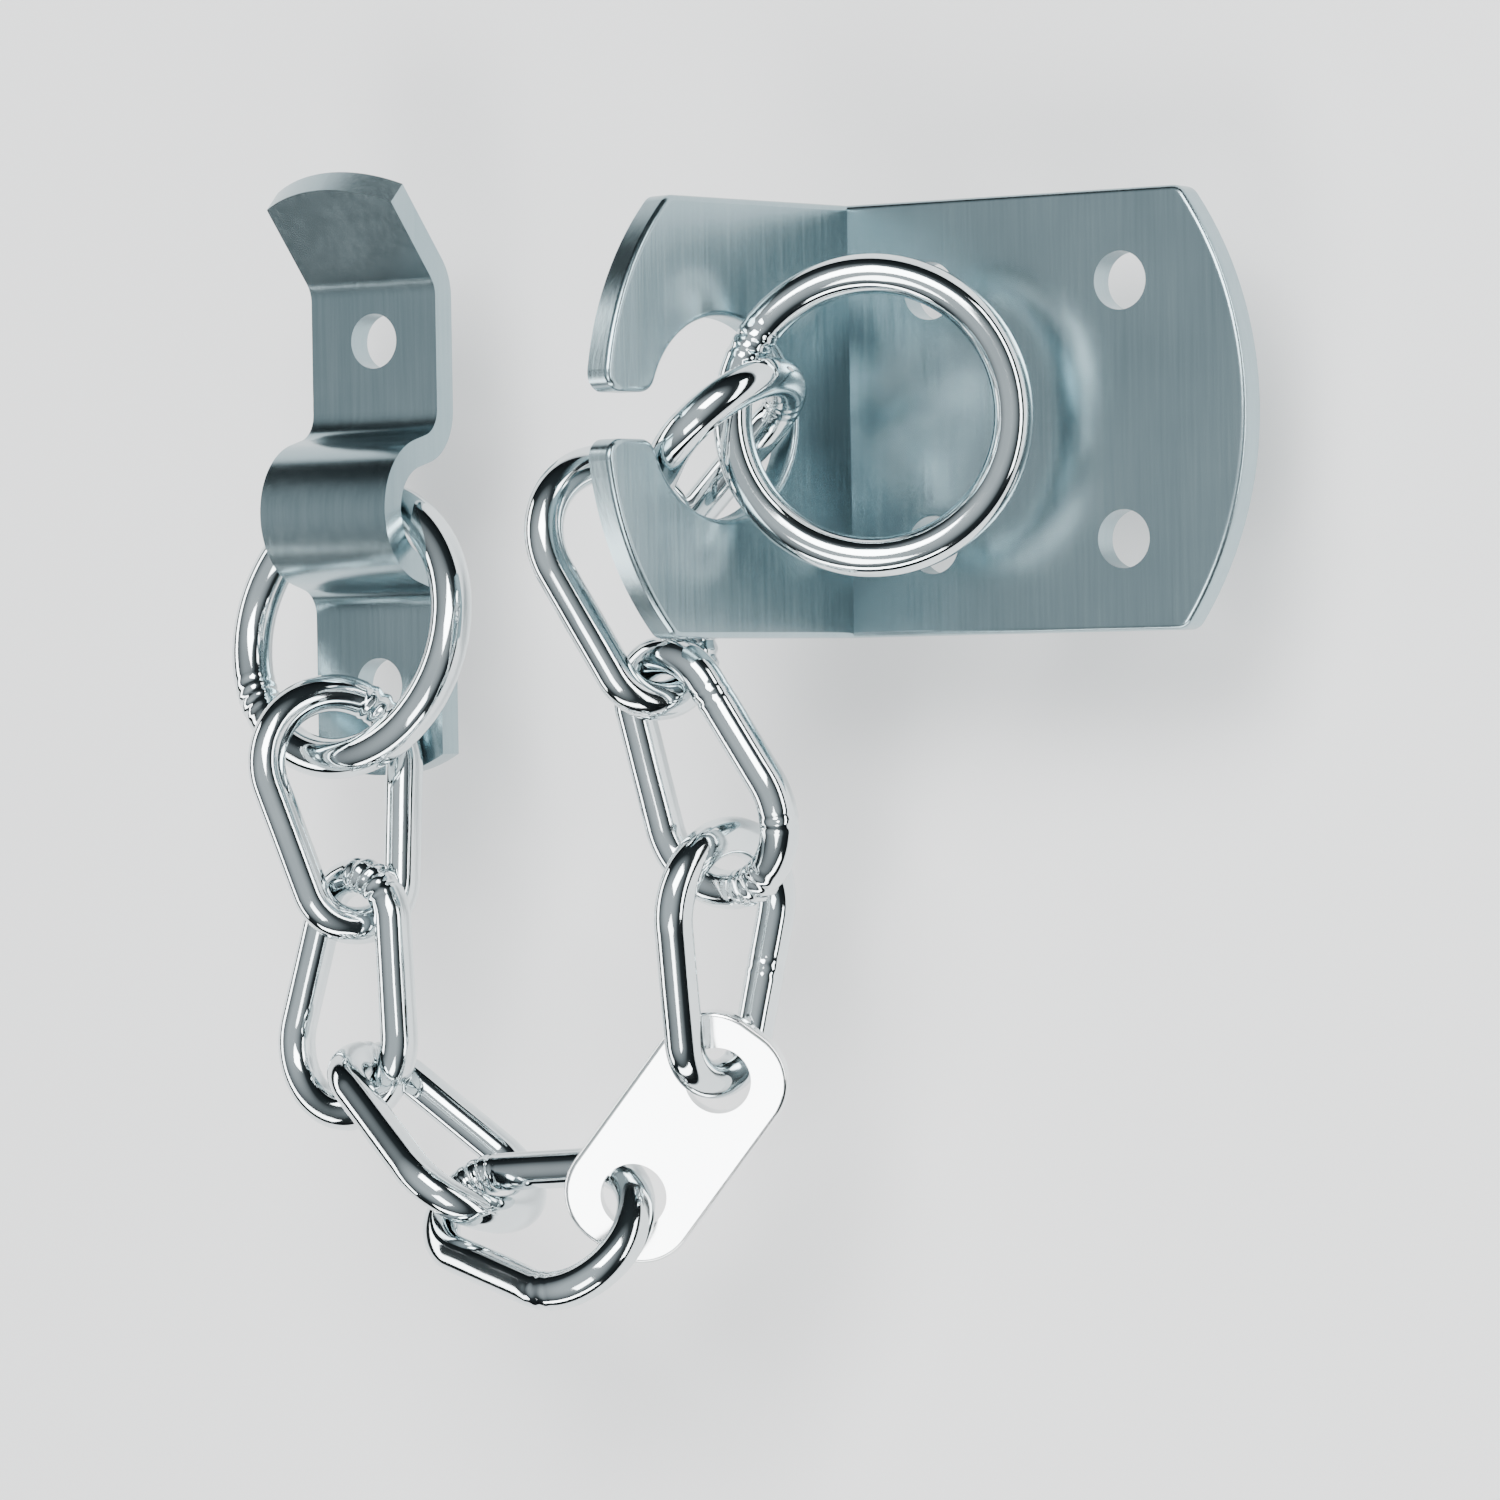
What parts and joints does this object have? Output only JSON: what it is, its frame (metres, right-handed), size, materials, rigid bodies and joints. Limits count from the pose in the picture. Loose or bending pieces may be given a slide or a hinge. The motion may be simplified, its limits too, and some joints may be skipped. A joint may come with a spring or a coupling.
{
  "type": "door chain guard",
  "caption": "Door chain guard: a bent keyhole plate with a pull ring, a chain of pear-shaped links with a joining tag, and a frame strap on a ring.",
  "frame": {"origin": "centre of the door plate's four screws, on its back face", "axes": "+X from the frame strap towards the door plate, +Y along the plate's bend, +Z away from the mounting surface"},
  "size_m": [0.1643, 0.1609, 0.0499],
  "materials": {
    "satin_zinc": "bright zinc with a blue tint, fine vertical brushing",
    "bright_zinc": "polished bright zinc"
  },
  "bodies": {
    "door_plate": {"door_plate": "satin_zinc"},
    "chain_link_8": {"chain_link_8": "bright_zinc"},
    "pull_ring": {"pull_ring": "bright_zinc"},
    "chain_link_7": {"chain_link_7": "bright_zinc"},
    "chain_link_6": {"chain_link_6": "bright_zinc"},
    "chain_link_5": {"chain_link_5": "bright_zinc"},
    "joining_tag": {"joining_tag": "bright_zinc"},
    "chain_link_4": {"chain_link_4": "bright_zinc"},
    "chain_link_3": {"chain_link_3": "bright_zinc"},
    "chain_link_2": {"chain_link_2": "bright_zinc"},
    "chain_link_1": {"chain_link_1": "bright_zinc"},
    "strap_ring": {"strap_ring": "bright_zinc"},
    "frame_strap": {"frame_strap": "satin_zinc"}
  },
  "joints": [
    {"name": "link_8_swings_in_keyhole", "type": "hinge", "parent": "door_plate", "child": "chain_link_8", "pos_m": [-0.03505, -0.0033, 0.02755], "axis": [0.9781, 0, 0.2079], "range_deg": [-5, 5]},
    {"name": "pull_ring_swings", "type": "hinge", "parent": "chain_link_8", "child": "pull_ring", "pos_m": [-0.02358, -0.00083, 0.02438], "axis": [0.3743, 0.283, 0.8831], "range_deg": [-5, 21]},
    {"name": "link_7_swings", "type": "hinge", "parent": "chain_link_8", "child": "chain_link_7", "pos_m": [-0.04772, -0.01424, 0.02894], "axis": [-0.6434, -0.5283, -0.554], "range_deg": [-3, 15]},
    {"name": "link_6_swings", "type": "hinge", "parent": "chain_link_7", "child": "chain_link_6", "pos_m": [-0.04253, -0.03808, 0.02861], "axis": [-0.4358, -0.2846, 0.8539], "range_deg": [-12, 12]},
    {"name": "link_5_swings", "type": "hinge", "parent": "chain_link_6", "child": "chain_link_5", "pos_m": [-0.03755, -0.06435, 0.02366], "axis": [-0.9897, 0.1121, -0.0889], "range_deg": [-20, 20]},
    {"name": "tag_turns_on_link_5", "type": "hinge", "parent": "chain_link_5", "child": "joining_tag", "pos_m": [-0.0406, -0.0905, 0.02097], "axis": [-0.2048, -0.1056, 0.9731], "range_deg": [-7.5, 7.5]},
    {"name": "link_4_turns_in_tag", "type": "hinge", "parent": "joining_tag", "child": "chain_link_4", "pos_m": [-0.05312, -0.10654, 0.02347], "axis": [0.5354, -0.6579, 0.5296], "range_deg": [-10, 10]},
    {"name": "link_3_swings", "type": "hinge", "parent": "chain_link_4", "child": "chain_link_3", "pos_m": [-0.08268, -0.10574, 0.02063], "axis": [0.7528, 0.5544, -0.3548], "range_deg": [-12, 7.5]},
    {"name": "link_2_swings", "type": "hinge", "parent": "chain_link_3", "child": "chain_link_2", "pos_m": [-0.10322, -0.08882, 0.01723], "axis": [0.1777, -0.0326, -0.9835], "range_deg": [-15, 15]},
    {"name": "link_1_swings", "type": "hinge", "parent": "chain_link_2", "child": "chain_link_1", "pos_m": [-0.10571, -0.06266, 0.01512], "axis": [0.9839, 0.1057, 0.144], "range_deg": [-3, 3]},
    {"name": "strap_ring_swings", "type": "hinge", "parent": "chain_link_1", "child": "strap_ring", "pos_m": [-0.10851, -0.03637, 0.01334], "axis": [0.6413, -0.161, -0.7502], "range_deg": [-5, 12]},
    {"name": "frame_strap_turns_on_ring", "type": "hinge", "parent": "strap_ring", "child": "frame_strap", "pos_m": [-0.10875, -0.00848, 0.0075], "axis": [-0.994, -0.0389, -0.1023], "range_deg": [-3, 0]}
  ]
}
